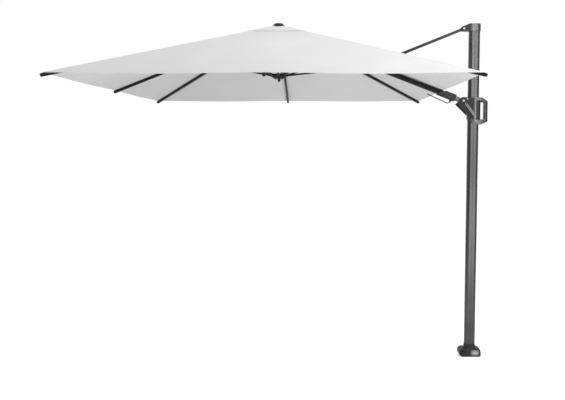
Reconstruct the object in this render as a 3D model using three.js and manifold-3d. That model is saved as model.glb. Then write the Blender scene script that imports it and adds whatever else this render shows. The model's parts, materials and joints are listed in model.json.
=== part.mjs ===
// Cantilever parasol with a square canopy, a folding arm on a sliding carriage, and a swivelling mast.
// Millimetres, +Z up. The origin is on the mast's axis at the underside of the foot.
// The canopy hangs on the -X side of the mast, and the hinge axes of the linkage run along Y.
import * as THREE from "three";
import { mergeVertices } from "three/addons/utils/BufferGeometryUtils.js";
import Module from "manifold-3d";

const wasm = await Module();
wasm.setup();

// Fits and general values
const seatGap = 0.3;
const pinClearance = 0.35;
const sideClearance = 0.6;
const overrun = 20;
const weldDistance = 0.0001;
const degree = Math.PI / 180;
const pinSides = 12;
const roundSides = 24;
const cornerSteps = 2;
const ballSteps = 8;
const nutSides = 6;
const rodSteps = 16;

// Foot
const footWidth = 213;
const footDepth = 100;
const footCorner = 34;
const footHeight = 80;
const footShoulder = 32;
const footSlant = 8;
const footFloor = 10;
const bossReach = 65;
const bossDepth = 108;
const knobRadius = 23;
const knobHeight = 16;
const knobRecess = 8;
const knobGripWidth = 9;
const knobGripHeight = 7;
const knobShaftRadius = 6;
const plateThickness = 6;
const plateRadius = 40;
const spigotRadius = 38;
const bushingWall = 4;
const neckHeight = 38;
const neckFlare = 7;

// Mast
const mastWidth = 98;
const mastDepth = 72;
const mastCorner = 25;
const mastWall = 3;
const spigotPlugDepth = 60;
const capThickness = 5;
const capPlugDepth = 25;
const capPlugWall = 4;

// Linkage: the two mast-side pivots, the strut and the arm
const upperPivotHeight = 3027;
const pivotStandoff = 49;
const strutPivotOffset = 12;
const armPitch = 21 * degree;
const hemToPivot = 177.4;
const collarToBracket = 51.8;

// Mast top bracket
const bracketWall = 6;
const bracketAbove = 43;
const bracketBelow = 24;
const earRadius = 24;
const noseRadius = 25;
const earSeat = 2;
const earWeb = 18;
const boltRadius = 6;
const boltHeadRadius = 10;
const boltHeadHeight = 5;

// Strut
const strutDepth = 25;
const strutWidth = 20;
const strutWall = 2;
const strutCorner = 3;
const tongueThickness = 16;
const tongueRadius = 13;
const strutEndLength = 30;
const strutPlugDepth = 35;
const forkLength = 58;
const forkBridge = 14;
const forkPlate = 4.5;
const forkRadius = 12.5;

// Arm
const armDepth = 47;
const armWidth = 32;
const armWall = 3;
const armCorner = 7;
const bushWall = 2;
const bushLength = 46;
const collarWall = 3.5;
const collarLength = 50;
const trunnionRadius = 6;
const knuckleRadius = 29;
const stubRadius = 22.5;
const housingStart = 72;
const housingLength = 171;
const housingDepth = 64;
const housingWidth = 50;
const housingCorner = 9;
const stubDepth = 66;
const armSocketDepth = 96;
const headLength = 46;
const headPlugDepth = 40;
const headRadius = 15;

// Tilt lever under the arm's tail
const leverAlong = 105;
const leverDrop = 41;
const leverRodRadius = 4.5;
const leverEyeRadius = 9;
const leverEyeWidth = 12;
const leverPinRadius = 3.5;
const leverLugWall = 5;
const leverElbowAlong = 12;
const leverElbowDrop = 28;
const leverTipAlong = 222;
const leverTipDrop = 14;
const elbowShare = 0.4;

// Crown and canopy
const crownReach = 95;
const armHeadDrop = 40;
const fabricExtraPitch = 0.37 * degree;
const canopySide = 3000;
const fabricThickness = 1.2;
const ventSide = 500;
const ventHoleSide = 380;
const ventLift = 12;
const ventCentreHole = 90;
const slitHalfLength = 66;
const slitMargin = 13;
const ribPivotRadius = 60;
const ribPinRadius = 4;
const hubRadius = 72;
const hubBelowPin = 12.5;
const hubCore = 45;
const hubPinSeat = 6;
const hubBossRadius = 30;
const hubLugWidth = 20;
const hubLugRadius = 14;
const finialTopRadius = 36;
const finialBaseRadius = 68;
const finialRise = 12;
const finialDrop = 28;
const finialRim = 8;
const finialBevel = 4;

// Ribs
const ribWidth = 20;
const ribDepth = 25;
const ribWall = 1.6;
const ribTongue = 10;
const ribEyeRadius = 10;
const ribRoot = 22;
const ribPlug = 30;
const ribLugDrop = 20;
const ribLugRadius = 9;
const ribLugLength = 26;
const tipLength = 38;
const tipOverhang = 9;
const tipPlugDepth = 24;
const tipNose = 6;
const closedRibAngle = 87 * degree;
const cornerLugShare = 0.3363;

// Stretchers and runner
const stretcherWidth = 16;
const stretcherDepth = 14;
const stretcherTongue = 10;
const stretcherEyeRadius = 9;
const stretcherRoot = 20;
const stretcherFork = 42;
const stretcherForkPlate = 3.5;
const stretcherForkBridge = 10;
const pinHeadRadius = 6.5;
const pinHeadHeight = 2;
const runnerTop = 14;
const runnerRim = 8;
const runnerBottom = 29;
const runnerFootRadius = 40;
const runnerKnobRadius = 13.5;
const runnerKnobNeck = 7;
const runnerKnobDrop = 12;
const armBracketDrop = 50;
const armBracketLength = 60;
const closedArmAngle = 84 * degree;

// Carriage
const slideClearance = 0.8;
const sleeveWall = 6.5;
const sleeveAbove = 28;
const sleeveBelow = 214;
const linerThickness = 2.4;
const linerHeight = 30;
const cheekPlate = 7;
const cheekLobe = 34;
const cheekCornerAlong = 58;
const cheekCornerDrop = 27;
const cheekFootAlong = 94;
const cheekFootDrop = 171;
const crossBoltAlong = 34;
const crossBoltRise = 15;
const crossBoltRadius = 5;
const crossBoltHead = 8;
const releasePivotAlong = 20;
const releasePivotDrop = 28;
const releaseLength = 118;
const releaseWidth = 33;
const releaseThickness = 10;
const releasePitch = 53 * degree;
const releasePinRadius = 5;
const handleReach = 74;
const handleDepth = 56;
const handleFoot = 4;
const handleGrip = 34;
const handleTopBar = 44;
const handleBottomBar = 46;
const handleBevel = 32;
const handleBevelRise = 22;
const handleCorner = 12;
const handleRound = 9;
const yokeWall = 5;
const yokeGap = 7;
const yokeBand = 27;
const yokeChinAlong = 24;
const yokeChinRise = 30;

// Worked out: the clamp boss is as high as the foot, and the ears hold their bolt between two seats
const bossRadius = footHeight / 2;
const earHalf = noseRadius - earSeat;

// Worked out: the canopy, measured from its apex
const canopyHalf = canopySide / 2;
const canopyPitch = armPitch + fabricExtraPitch;
const canopySlope = Math.tan(canopyPitch);
const cornerPitch = Math.atan(canopySlope / Math.SQRT2);
const fabricDrop = fabricThickness / Math.cos(canopyPitch);
const headPivotDrop = crownReach * canopySlope + armHeadDrop;
const ventSlope = canopySlope - ventLift / (ventSide / 2);
const ribHang = ribDepth / 2 + seatGap;
const midPivotDrop = fabricDrop + ribHang / Math.cos(canopyPitch) + canopySlope * ribPivotRadius;
const cornerSlope = Math.tan(cornerPitch);
const cornerPivotDrop = fabricDrop + (ribWidth / 2) * cornerSlope + ribHang / Math.cos(cornerPitch)
  + cornerSlope * ribPivotRadius;
const hubDepth = midPivotDrop + hubBelowPin;

// Worked out: the stretchers. A corner rib and its stretcher are equal, so the runner stays on the axis.
const cornerHemAlong = (canopyHalf * Math.SQRT2 - ribPivotRadius) / Math.cos(cornerPitch);
const cornerLugAlong = cornerLugShare * cornerHemAlong;
const openDrop = 2 * (cornerLugAlong * Math.sin(cornerPitch) + ribLugDrop * Math.cos(cornerPitch));
const runnerDrop = openDrop + cornerPivotDrop;
const cornerArm = Math.hypot(cornerLugAlong, ribLugDrop);
const cornerSkew = Math.atan2(ribLugDrop, cornerLugAlong);
const closedDrop = 2 * cornerArm * Math.sin(closedRibAngle + cornerSkew);

// The other stretchers fit the runner at its open and its closed height.
function stretcherFit(pivotRadius, pivotDrop, openAngle, closedAngle, lugDrop) {
  const lead = pivotRadius - ribPivotRadius;
  const open = runnerDrop - pivotDrop;
  const closed = open + closedDrop - openDrop;
  let skew = 0;
  let arm = closed / 2;
  for (let pass = 0; pass < 60; pass++) {
    const a = openAngle + skew;
    const b = closedAngle + skew;
    const spread = lead * (Math.cos(a) - Math.cos(b)) + closed * Math.sin(b) - open * Math.sin(a);
    arm = (closed ** 2 - open ** 2) / (2 * spread);
    skew = Math.asin(lugDrop / arm);
  }
  const across = lead + arm * Math.cos(openAngle + skew);
  const up = open - arm * Math.sin(openAngle + skew);
  const acrossClosed = lead + arm * Math.cos(closedAngle + skew);
  const upClosed = closed - arm * Math.sin(closedAngle + skew);
  return {
    lugAlong: arm * Math.cos(skew),
    length: Math.hypot(across, up),
    rise: Math.atan2(up, across),
    closedRise: Math.atan2(upClosed, acrossClosed),
  };
}
const cornerFit = {
  lugAlong: cornerLugAlong,
  length: cornerArm,
  rise: cornerPitch + cornerSkew,
  closedRise: closedRibAngle + cornerSkew,
};
const midFit = stretcherFit(ribPivotRadius, midPivotDrop, canopyPitch, closedRibAngle, ribLugDrop);
const armFit = stretcherFit(crownReach, headPivotDrop, armPitch, closedArmAngle, armBracketDrop);

// Worked out: the linkage. The strut ends in a collar just behind the arm's bracket.
const mastHalf = mastWidth / 2;
const pivotX = -(mastHalf + pivotStandoff);
const armReach = (canopyHalf + hemToPivot - crownReach) / Math.cos(armPitch);
const collarAlong = armReach - armFit.lugAlong - (armBracketLength + collarLength) / 2 - collarToBracket;
const strutLength = Math.hypot(collarAlong, strutPivotOffset);
const strutPitch = armPitch + Math.asin(strutPivotOffset / strutLength);
const carriagePivotHeight = upperPivotHeight - 2 * strutLength * Math.sin(strutPitch);
const headPivotX = pivotX - armReach * Math.cos(armPitch);
const headPivotZ = carriagePivotHeight + armReach * Math.sin(armPitch);
const apexX = headPivotX - crownReach;
const apexZ = headPivotZ + headPivotDrop;

// Materials
function finish(colour, roughness, metalness) {
  return new THREE.MeshStandardMaterial({ color: colour, roughness, metalness });
}
const anthracite = () => finish(0x3c3d40, 0.45, 0.6);
const mastGrey = () => finish(0x6a6c70, 0.4, 0.7);
const darkPlastic = () => finish(0x2b2c2e, 0.6, 0);
const lightGrey = () => finish(0x9a9b9d, 0.4, 0.6);
const steel = () => finish(0xc8c9cb, 0.25, 1);
const fabric = () => finish(0xe4e5e6, 0.9, 0);

// Solids
function solid(geometry) {
  const bare = geometry.clone();
  bare.deleteAttribute("normal");
  bare.deleteAttribute("uv");
  const merged = mergeVertices(bare, weldDistance);
  return new wasm.Manifold(new wasm.Mesh({
    numProp: 3,
    vertProperties: merged.attributes.position.array,
    triVerts: new Uint32Array(merged.index.array),
  }));
}
function join(...pieces) {
  return pieces.reduce((a, b) => a.add(b));
}
function cut(body, ...tools) {
  return tools.reduce((a, b) => a.subtract(b), body);
}
function meshOf(name, body, material) {
  const data = body.getMesh();
  const geometry = new THREE.BufferGeometry();
  geometry.setAttribute("position", new THREE.BufferAttribute(data.vertProperties, 3));
  geometry.setIndex(new THREE.BufferAttribute(data.triVerts, 1));
  geometry.computeVertexNormals();
  const mesh = new THREE.Mesh(geometry, material);
  mesh.name = name;
  return mesh;
}

// A block between two corners
function block(x0, x1, y0, y1, z0, z1) {
  const geometry = new THREE.BoxGeometry(x1 - x0, y1 - y0, z1 - z0);
  return solid(geometry.translate((x0 + x1) / 2, (y0 + y1) / 2, (z0 + z1) / 2));
}
// A round bar along Y
function pinY(x, z, radius, y0, y1, sides = pinSides) {
  const geometry = new THREE.CylinderGeometry(radius, radius, y1 - y0, sides);
  return solid(geometry.translate(x, (y0 + y1) / 2, z));
}
// A hole along Y that clears a pin of the same number of sides at any angle
function holeY(x, z, radius, y0, y1, sides = pinSides) {
  return pinY(x, z, (radius + pinClearance) / Math.cos(Math.PI / sides), y0, y1, sides);
}
// A round bar along Z
function pinZ(x, y, radius, z0, z1, sides = roundSides) {
  const geometry = new THREE.CylinderGeometry(radius, radius, z1 - z0, sides).rotateX(Math.PI / 2);
  return solid(geometry.translate(x, y, (z0 + z1) / 2));
}
// A round bar along X
function pinX(x0, x1, radius, sides = roundSides) {
  const geometry = new THREE.CylinderGeometry(radius, radius, x1 - x0, sides).rotateZ(Math.PI / 2);
  return solid(geometry.translate((x0 + x1) / 2, 0, 0));
}
// A flat plate with its outline in X and Z, between two values of Y
function plate(shape, y0, y1) {
  const geometry = new THREE.ExtrudeGeometry(shape, {
    depth: y1 - y0, bevelEnabled: false, curveSegments: cornerSteps * 2,
  });
  return solid(geometry.rotateX(Math.PI / 2).translate(0, y1, 0));
}
// A bar with its section in Y and Z, between two values of X
function barX(shape, x0, x1) {
  const geometry = new THREE.ExtrudeGeometry(shape, {
    depth: x1 - x0, bevelEnabled: false, curveSegments: cornerSteps,
  });
  const turn = new THREE.Matrix4().makeBasis(
    new THREE.Vector3(0, 1, 0), new THREE.Vector3(0, 0, 1), new THREE.Vector3(1, 0, 0),
  );
  return solid(geometry.applyMatrix4(turn).translate(x0, 0, 0));
}
// A column with its section in X and Y, between two values of Z
function column(shape, z0, z1) {
  const geometry = new THREE.ExtrudeGeometry(shape, {
    depth: z1 - z0, bevelEnabled: false, curveSegments: cornerSteps,
  });
  return solid(geometry.translate(0, 0, z0));
}
function roundedRectangle(width, height, radius, x = 0, y = 0) {
  const w = width / 2 - radius;
  const h = height / 2 - radius;
  const shape = new THREE.Shape();
  shape.absarc(x + w, y + h, radius, 0, Math.PI / 2, false);
  shape.absarc(x - w, y + h, radius, Math.PI / 2, Math.PI, false);
  shape.absarc(x - w, y - h, radius, Math.PI, 1.5 * Math.PI, false);
  shape.absarc(x + w, y - h, radius, 1.5 * Math.PI, 2 * Math.PI, false);
  shape.closePath();
  return shape;
}
// A round-ended link outline from the origin to -X, with an eye at the origin
function linkOutline(length, radius) {
  const shape = new THREE.Shape();
  shape.moveTo(-length, -radius);
  shape.lineTo(0, -radius);
  shape.absarc(0, 0, radius, -Math.PI / 2, Math.PI / 2, false);
  shape.lineTo(-length, radius);
  shape.closePath();
  return shape;
}
// The same towards +X
function tongueOutline(length, radius) {
  const shape = new THREE.Shape();
  shape.moveTo(length, radius);
  shape.lineTo(0, radius);
  shape.absarc(0, 0, radius, Math.PI / 2, 1.5 * Math.PI, false);
  shape.lineTo(length, -radius);
  shape.closePath();
  return shape;
}
function polygon(points) {
  return new THREE.Shape(points.map(([x, y]) => new THREE.Vector2(x, y)));
}
function lathe(points, sides = roundSides) {
  const profile = points.map(([r, z]) => new THREE.Vector2(r, z));
  return solid(new THREE.LatheGeometry(profile, sides).rotateX(Math.PI / 2));
}
// A square pyramid with its apex on the Z axis, and a given slope down to a half side
function pyramid(slope, half, apex = 0) {
  const height = slope * half;
  const geometry = new THREE.ConeGeometry(half * Math.SQRT2, height, 4).rotateX(Math.PI / 2);
  return solid(geometry.rotateZ(Math.PI / 4).translate(0, 0, apex - height / 2));
}
// A hub's slot and pin for one spoke, at an angle about Z
function hubSlot(azimuth, halfWidth, z0, z1) {
  const outside = hubRadius + overrun;
  const geometry = new THREE.BoxGeometry(outside - hubCore, 2 * halfWidth, z1 - z0);
  return solid(geometry.translate((hubCore + outside) / 2, 0, (z0 + z1) / 2).rotateZ(azimuth));
}
function hubPin(azimuth, z, halfLength) {
  const geometry = new THREE.CylinderGeometry(ribPinRadius, ribPinRadius, 2 * halfLength, pinSides);
  return solid(geometry.translate(ribPivotRadius, 0, z).rotateZ(azimuth));
}

// Groups, one for each moving body
const parasol = new THREE.Group();
function groupAt(parent, x, y, z, turn = 0) {
  const group = new THREE.Group();
  group.position.set(x, y, z);
  group.rotation.y = turn;
  parent.add(group);
  return group;
}
const foot = groupAt(parasol, 0, 0, 0);
const mast = groupAt(parasol, 0, 0, 0);
const strut = groupAt(parasol, pivotX, 0, upperPivotHeight, -strutPitch);
const arm = groupAt(parasol, pivotX, 0, carriagePivotHeight, armPitch);
const carriage = groupAt(parasol, 0, 0, carriagePivotHeight);
const crown = groupAt(parasol, apexX, 0, apexZ);
const runner = groupAt(crown, 0, 0, -runnerDrop);

// Foot: a cast collar with a clamp boss, a bushing, an underside plate and a clamp knob
function makeFoot() {
  const boreRadius = spigotRadius + bushingWall + 2 * seatGap;
  const bossFront = -bossDepth / 2;
  const right = footWidth - bossReach - bossRadius;
  const side = new THREE.Shape();
  side.moveTo(-bossReach, 0);
  side.lineTo(right - footSlant / 2, 0);
  side.lineTo(right, footSlant / 2);
  const shoulderX = right - footSlant - footShoulder;
  side.absarc(shoulderX, footHeight - footShoulder, footShoulder, 0, Math.PI / 2, false);
  side.lineTo(-bossReach, footHeight);
  side.closePath();
  const casting = plate(side, -footDepth / 2, footDepth / 2)
    .intersect(column(roundedRectangle(2 * right, footDepth, footCorner), -overrun, footHeight + overrun));
  const boss = pinY(-bossReach, bossRadius, bossRadius, bossFront, -bossFront, roundSides);
  const recess = pinY(-bossReach, bossRadius, knobRadius + sideClearance, bossFront - overrun,
    bossFront + knobRecess, roundSides);
  const collar = cut(
    join(casting, boss),
    recess,
    holeY(-bossReach, bossRadius, knobShaftRadius, bossFront, -bossFront - footFloor),
    pinZ(0, 0, boreRadius, footFloor, footHeight + overrun),
    pinZ(0, 0, plateRadius + seatGap, -overrun, plateThickness + seatGap),
  );
  foot.add(meshOf("foot_collar", collar, anthracite()));
  const liner = cut(
    pinZ(0, 0, boreRadius - seatGap, footFloor + seatGap, footHeight - seatGap),
    pinZ(0, 0, spigotRadius + seatGap, 2 * footFloor, footHeight + overrun),
  );
  foot.add(meshOf("foot_bushing", liner, darkPlastic()));
  foot.add(meshOf("foot_plate", pinZ(0, 0, plateRadius, 0, plateThickness), steel()));
  const knobBack = bossFront + knobRecess - seatGap;
  const knobFace = knobBack - knobHeight;
  const knob = join(
    pinY(-bossReach, bossRadius, knobRadius, knobFace, knobBack, roundSides),
    block(-bossReach - knobRadius + knobGripHeight, -bossReach + knobRadius - knobGripHeight,
      knobFace - knobGripHeight, knobFace + seatGap, bossRadius - knobGripWidth / 2,
      bossRadius + knobGripWidth / 2),
    pinY(-bossReach, bossRadius, knobShaftRadius, knobBack - seatGap, -bossFront - 2 * footFloor),
  );
  foot.add(meshOf("swivel_lock_knob", knob, darkPlastic()));
}

// Mast: the tube, its turning shoe, the top bracket with the strut's ears, the cap and the upper pin
const bracketTop = upperPivotHeight + bracketAbove;
const tubeBottom = footHeight + neckHeight;
const tubeTop = bracketTop - capThickness - seatGap;
function mastOutline(grow) {
  return roundedRectangle(mastWidth + 2 * grow, mastDepth + 2 * grow, mastCorner + grow);
}
// A piece of the mast's outline that narrows from one height to another
function taper(lowGrow, low, highGrow, high) {
  return wasm.Manifold.hull([
    column(mastOutline(lowGrow), low, low + seatGap),
    column(mastOutline(highGrow), high - seatGap, high),
  ]);
}
function makeMast() {
  const tube = cut(
    column(mastOutline(0), tubeBottom, tubeTop),
    column(mastOutline(-mastWall), tubeBottom - overrun, tubeTop + overrun),
  );
  mast.add(meshOf("mast_tube", tube, mastGrey()));
  const shoe = join(
    pinZ(0, 0, spigotRadius, 2 * footFloor + seatGap, footHeight + neckHeight / 2),
    taper(neckFlare, footHeight + sideClearance, neckFlare / 3, footHeight + neckHeight / 2),
    taper(neckFlare / 3, footHeight + neckHeight / 2, neckFlare / 6, tubeBottom - seatGap),
    column(mastOutline(-mastWall - seatGap), tubeBottom - neckHeight / 2, tubeBottom + spigotPlugDepth),
  );
  mast.add(meshOf("mast_shoe", shoe, anthracite()));
  const bottom = upperPivotHeight - bracketBelow;
  const left = mastCorner - mastHalf;
  const ear = new THREE.Shape();
  ear.moveTo(left, bottom);
  ear.lineTo(left, bracketTop);
  ear.lineTo(-mastHalf, bracketTop);
  ear.lineTo(pivotX, upperPivotHeight + earRadius);
  ear.absarc(pivotX, upperPivotHeight, earRadius, Math.PI / 2, 1.6 * Math.PI, false);
  ear.lineTo(-mastHalf, bottom);
  ear.closePath();
  const ring = column(mastOutline(bracketWall), bottom, bracketTop);
  const nose = wasm.Manifold.hull([ring, pinZ(pivotX, 0, noseRadius, bottom, bracketTop)])
    .intersect(plate(ear, -mastWidth, mastWidth));
  const slotRight = pivotX + earWeb;
  const seatRadius = boltHeadRadius + sideClearance;
  const bracket = cut(
    join(ring, nose),
    column(mastOutline(seatGap), bottom - overrun, bracketTop + overrun),
    block(pivotX - 2 * earRadius, slotRight, -(tongueThickness / 2 + sideClearance),
      tongueThickness / 2 + sideClearance, bottom - overrun, bracketTop + overrun),
    holeY(pivotX, upperPivotHeight, boltRadius, -mastWidth, mastWidth),
    pinY(pivotX, upperPivotHeight, seatRadius, earHalf, mastWidth, roundSides),
    pinY(pivotX, upperPivotHeight, seatRadius, -mastWidth, -earHalf, roundSides),
  );
  mast.add(meshOf("mast_top_bracket", bracket, anthracite()));
  const cap = join(
    column(mastOutline(0), bracketTop - capThickness, bracketTop),
    column(mastOutline(-mastWall - seatGap), bracketTop - capThickness - capPlugDepth, bracketTop),
  );
  const hollow = column(mastOutline(-mastWall - seatGap - capPlugWall),
    bracketTop - capThickness - capPlugDepth - overrun, bracketTop - capThickness);
  mast.add(meshOf("mast_cap", cut(cap, hollow), darkPlastic()));
  mast.add(meshOf("strut_upper_bolt", boltAcross(pivotX, upperPivotHeight, boltRadius, boltHeadRadius,
    earHalf), steel()));
}
// A bolt along Y, with a head and a nut outside two plates
function boltAcross(x, z, radius, headRadius, halfGrip) {
  const reach = halfGrip + seatGap;
  return join(
    pinY(x, z, radius, -reach - boltHeadHeight / 2, reach + boltHeadHeight / 2),
    pinY(x, z, headRadius, -reach - boltHeadHeight, -reach, roundSides),
    pinY(x, z, headRadius, reach, reach + boltHeadHeight, nutSides),
  );
}

// Strut: a flat tube with a tongue at the mast and a fork over the arm's collar
function makeStrut() {
  const outline = roundedRectangle(strutWidth, strutDepth, strutCorner);
  const inner = roundedRectangle(strutWidth - 2 * strutWall, strutDepth - 2 * strutWall, strutCorner / 2);
  const inset = 2 * (strutWall + seatGap);
  const plug = roundedRectangle(strutWidth - inset, strutDepth - inset, strutCorner / 2);
  const start = strutEndLength + seatGap;
  const end = strutLength - forkLength - forkBridge - seatGap;
  const tube = cut(barX(outline, -end, -start), barX(inner, -end - overrun, -start + overrun));
  strut.add(meshOf("strut_tube", tube, anthracite()));
  const upper = cut(
    join(
      plate(linkOutline(strutEndLength, tongueRadius), -tongueThickness / 2, tongueThickness / 2),
      barX(outline, -strutEndLength, -strutEndLength + 2 * strutWall),
      barX(plug, -strutEndLength - strutPlugDepth, -strutEndLength + strutWall),
    ),
    holeY(0, 0, boltRadius, -tongueThickness, tongueThickness),
  );
  strut.add(meshOf("strut_upper_end", upper, darkPlastic()));
  const inside = collarOuter + sideClearance;
  const outside = inside + forkPlate;
  const bridgeStart = -strutLength + forkLength;
  const arms = cut(
    plate(forkOutline(), -outside, outside),
    block(-strutLength - 2 * forkRadius, bridgeStart, -inside, inside, -2 * forkRadius, 2 * forkRadius),
    holeY(-strutLength, 0, trunnionRadius, -2 * outside, 2 * outside),
  );
  const plugEnd = bridgeStart + forkBridge + strutPlugDepth;
  const lower = join(arms, barX(plug, bridgeStart + forkBridge / 2, plugEnd));
  strut.add(meshOf("strut_lower_fork", lower, darkPlastic()));
}
function forkOutline() {
  const shape = new THREE.Shape();
  const inner = -strutLength + forkLength + forkBridge;
  shape.moveTo(inner, forkRadius);
  shape.lineTo(-strutLength, forkRadius);
  shape.absarc(-strutLength, 0, forkRadius, Math.PI / 2, 1.5 * Math.PI, false);
  shape.lineTo(inner, -forkRadius);
  shape.closePath();
  return shape;
}

// Arm: the knuckle on the carriage, the collar of the strut, and the turning arm between them
const armDiagonal = Math.hypot(armWidth / 2 - armCorner, armDepth / 2 - armCorner) + armCorner;
const bushOuter = armDiagonal + seatGap + bushWall;
const collarInner = bushOuter + seatGap;
const collarOuter = collarInner + collarWall;
function makeArm() {
  const section = roundedRectangle(armWidth, armDepth, armCorner);
  const bore = roundedRectangle(armWidth - 2 * armWall, armDepth - 2 * armWall, armCorner - armWall);
  const socket = roundedRectangle(armWidth + 2 * seatGap, armDepth + 2 * seatGap, armCorner + seatGap);
  const inset = 2 * (armWall + seatGap);
  const plug = roundedRectangle(armWidth - inset, armDepth - inset, armCorner - armWall);
  const housingEnd = housingStart + housingLength;
  const hemAt = armReach - (canopyHalf - crownReach) / Math.cos(armPitch);
  const tubeStart = housingEnd - armSocketDepth + seatGap;
  const tubeEnd = armReach - headLength - seatGap;
  const tube = cut(barX(section, -tubeEnd, -tubeStart), barX(bore, -tubeEnd - overrun, -tubeStart + overrun));
  arm.add(meshOf("arm_tube", tube, anthracite()));

  const knuckleHalf = mastDepth / 2 + slideClearance + sleeveWall - seatGap;
  const knuckle = cut(
    join(
      pinY(0, 0, knuckleRadius, -knuckleHalf, knuckleHalf, roundSides),
      pinX(-(housingStart + stubDepth - seatGap), -knuckleRadius / 2, stubRadius),
    ),
    holeY(0, 0, boltRadius, -2 * knuckleHalf, 2 * knuckleHalf),
  );
  arm.add(meshOf("arm_knuckle", knuckle, lightGrey()));

  const housingSection = roundedRectangle(housingWidth, housingDepth, housingCorner);
  const eyeHalf = leverEyeWidth / 2 + sideClearance;
  const lugHalf = eyeHalf + leverLugWall;
  const lug = plate(leverLugOutline(), -lugHalf, lugHalf);
  const housing = join(
    cut(
      join(barX(housingSection, -housingEnd, -housingStart), lug),
      pinX(-(housingStart + stubDepth), -housingStart + overrun, stubRadius + seatGap),
      barX(socket, -housingEnd - overrun, -housingEnd + armSocketDepth),
      block(-housingEnd - overrun, -hemAt + housingCorner, -housingWidth, housingWidth,
        armDepth / 2 - seatGap, housingDepth),
      block(-leverAlong - leverSlotHalf, -leverAlong + leverSlotHalf, -eyeHalf, eyeHalf,
        -leverDrop - 2 * leverEyeRadius, -leverDrop + leverEyeRadius + sideClearance),
    ),
    pinY(-leverAlong, -leverDrop, leverPinRadius, -lugHalf - pinHeadHeight, lugHalf + pinHeadHeight),
  );
  arm.add(meshOf("arm_tail_housing", housing, anthracite()));

  const collarStart = collarAlong - collarLength / 2;
  const bushStart = collarAlong - bushLength / 2;
  const bush = cut(
    pinX(-bushStart - bushLength, -bushStart, bushOuter),
    barX(socket, -bushStart - bushLength - overrun, -bushStart + overrun),
  );
  arm.add(meshOf("arm_bush", bush, darkPlastic()));
  const collarBore = collarInner / Math.cos(Math.PI / roundSides);
  const trunnionReach = collarOuter + sideClearance + forkPlate + pinHeadHeight;
  const trunnionRoot = Math.sqrt(collarInner ** 2 - (strutPivotOffset - trunnionRadius) ** 2) + seatGap;
  const collar = join(
    cut(
      pinX(-collarStart - collarLength, -collarStart, collarOuter),
      pinX(-collarStart - collarLength - overrun, -collarStart + overrun, collarBore),
    ),
    pinY(-collarAlong, strutPivotOffset, trunnionRadius, trunnionRoot, trunnionReach),
    pinY(-collarAlong, strutPivotOffset, trunnionRadius, -trunnionReach, -trunnionRoot),
  );
  arm.add(meshOf("arm_collar", collar, anthracite()));

  const headStart = armReach - headLength;
  const slotHalf = hubLugWidth / 2 + sideClearance;
  const head = cut(
    join(
      plate(headOutline(headStart), -armWidth / 2, armWidth / 2),
      barX(plug, -headStart - armCorner, -headStart + headPlugDepth),
    ),
    block(-armReach - 2 * headRadius, -armReach + hubLugRadius + sideClearance, -slotHalf, slotHalf,
      -armDepth, armDepth),
    holeY(-armReach, 0, boltRadius, -armWidth, armWidth),
  );
  arm.add(meshOf("arm_head", head, darkPlastic()));
  const headPin = boltAcross(-armReach, 0, boltRadius, boltHeadRadius, armWidth / 2);
  arm.add(meshOf("arm_head_pin", headPin, steel()));

  const bracketAt = armReach - armFit.lugAlong;
  const top = -armDepth / 2 - seatGap;
  const bracket = new THREE.Shape();
  bracket.moveTo(-bracketAt + armBracketLength / 2, top);
  bracket.lineTo(-bracketAt - armBracketLength / 2, top);
  bracket.lineTo(-bracketAt - armBracketLength / 2, top - armWall);
  bracket.lineTo(-bracketAt - ribLugRadius - armWall, top - 2 * armWall);
  bracket.absarc(-bracketAt, -armBracketDrop, ribLugRadius, Math.PI, 2 * Math.PI, false);
  bracket.lineTo(-bracketAt + ribLugRadius + armWall, top - 2 * armWall);
  bracket.lineTo(-bracketAt + armBracketLength / 2, top - armWall);
  bracket.closePath();
  arm.add(meshOf("arm_bracket", plate(bracket, -armWidth / 2, armWidth / 2), darkPlastic()));
}
const leverSlotHalf = leverEyeRadius + 2 * sideClearance;
function leverLugOutline() {
  const shape = new THREE.Shape();
  const root = -housingDepth / 2 + housingCorner / 2;
  shape.moveTo(-leverAlong + 2 * leverEyeRadius, root);
  shape.lineTo(-leverAlong - 2 * leverEyeRadius, root);
  shape.absarc(-leverAlong, -leverDrop, leverEyeRadius - sideClearance, Math.PI, 2 * Math.PI, false);
  shape.closePath();
  return shape;
}
function headOutline(start) {
  const half = armDepth / 2;
  const shape = new THREE.Shape();
  shape.moveTo(-start, half);
  shape.lineTo(-start - armCorner, half);
  shape.lineTo(-armReach, headRadius);
  shape.absarc(-armReach, 0, headRadius, Math.PI / 2, 1.5 * Math.PI, false);
  shape.lineTo(-start - armCorner, -half);
  shape.lineTo(-start, -half);
  shape.closePath();
  return shape;
}

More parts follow.
